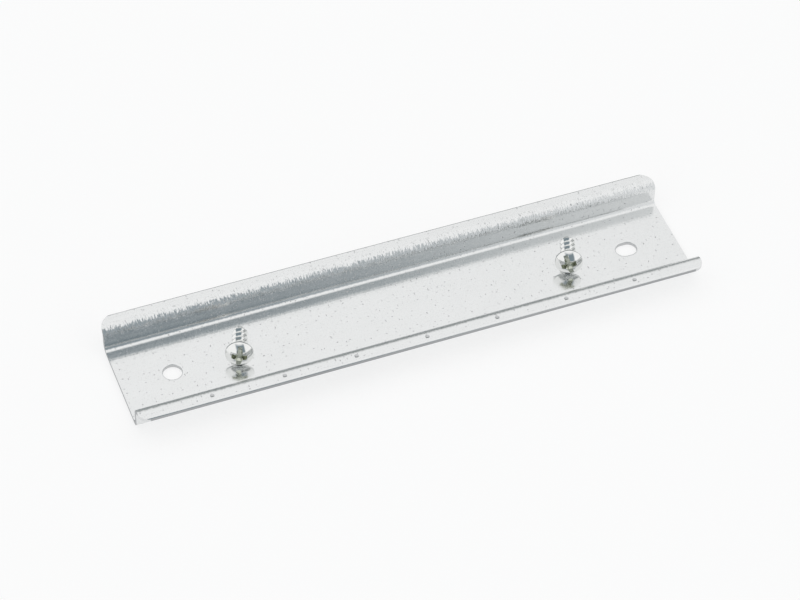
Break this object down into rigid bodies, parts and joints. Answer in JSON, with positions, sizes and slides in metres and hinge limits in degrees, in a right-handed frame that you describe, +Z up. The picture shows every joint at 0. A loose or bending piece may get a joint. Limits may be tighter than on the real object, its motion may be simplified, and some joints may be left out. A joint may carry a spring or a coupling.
{
  "type": "din rail",
  "caption": "Short top-hat mounting rail of bright zinc-plated steel with a round fixing hole, a fixing slot and its own loose pan-head screws lying in the channel.",
  "frame": {"origin": "middle of the web's underside, half-way along the rail and half-way across it", "axes": "+X along the rail from the round hole to the slot, +Y across it from the marked flange to the plain one, +Z up, out of the open side of the channel"},
  "size_m": [0.147, 0.035, 0.0079],
  "materials": {
    "zinc_strip": "satin",
    "zinc_screw": "gloss"
  },
  "bodies": {
    "root": {"rail": "zinc_strip", "fixing_screw_left": "zinc_screw", "fixing_screw_right": "zinc_screw"}
  },
  "joints": []
}
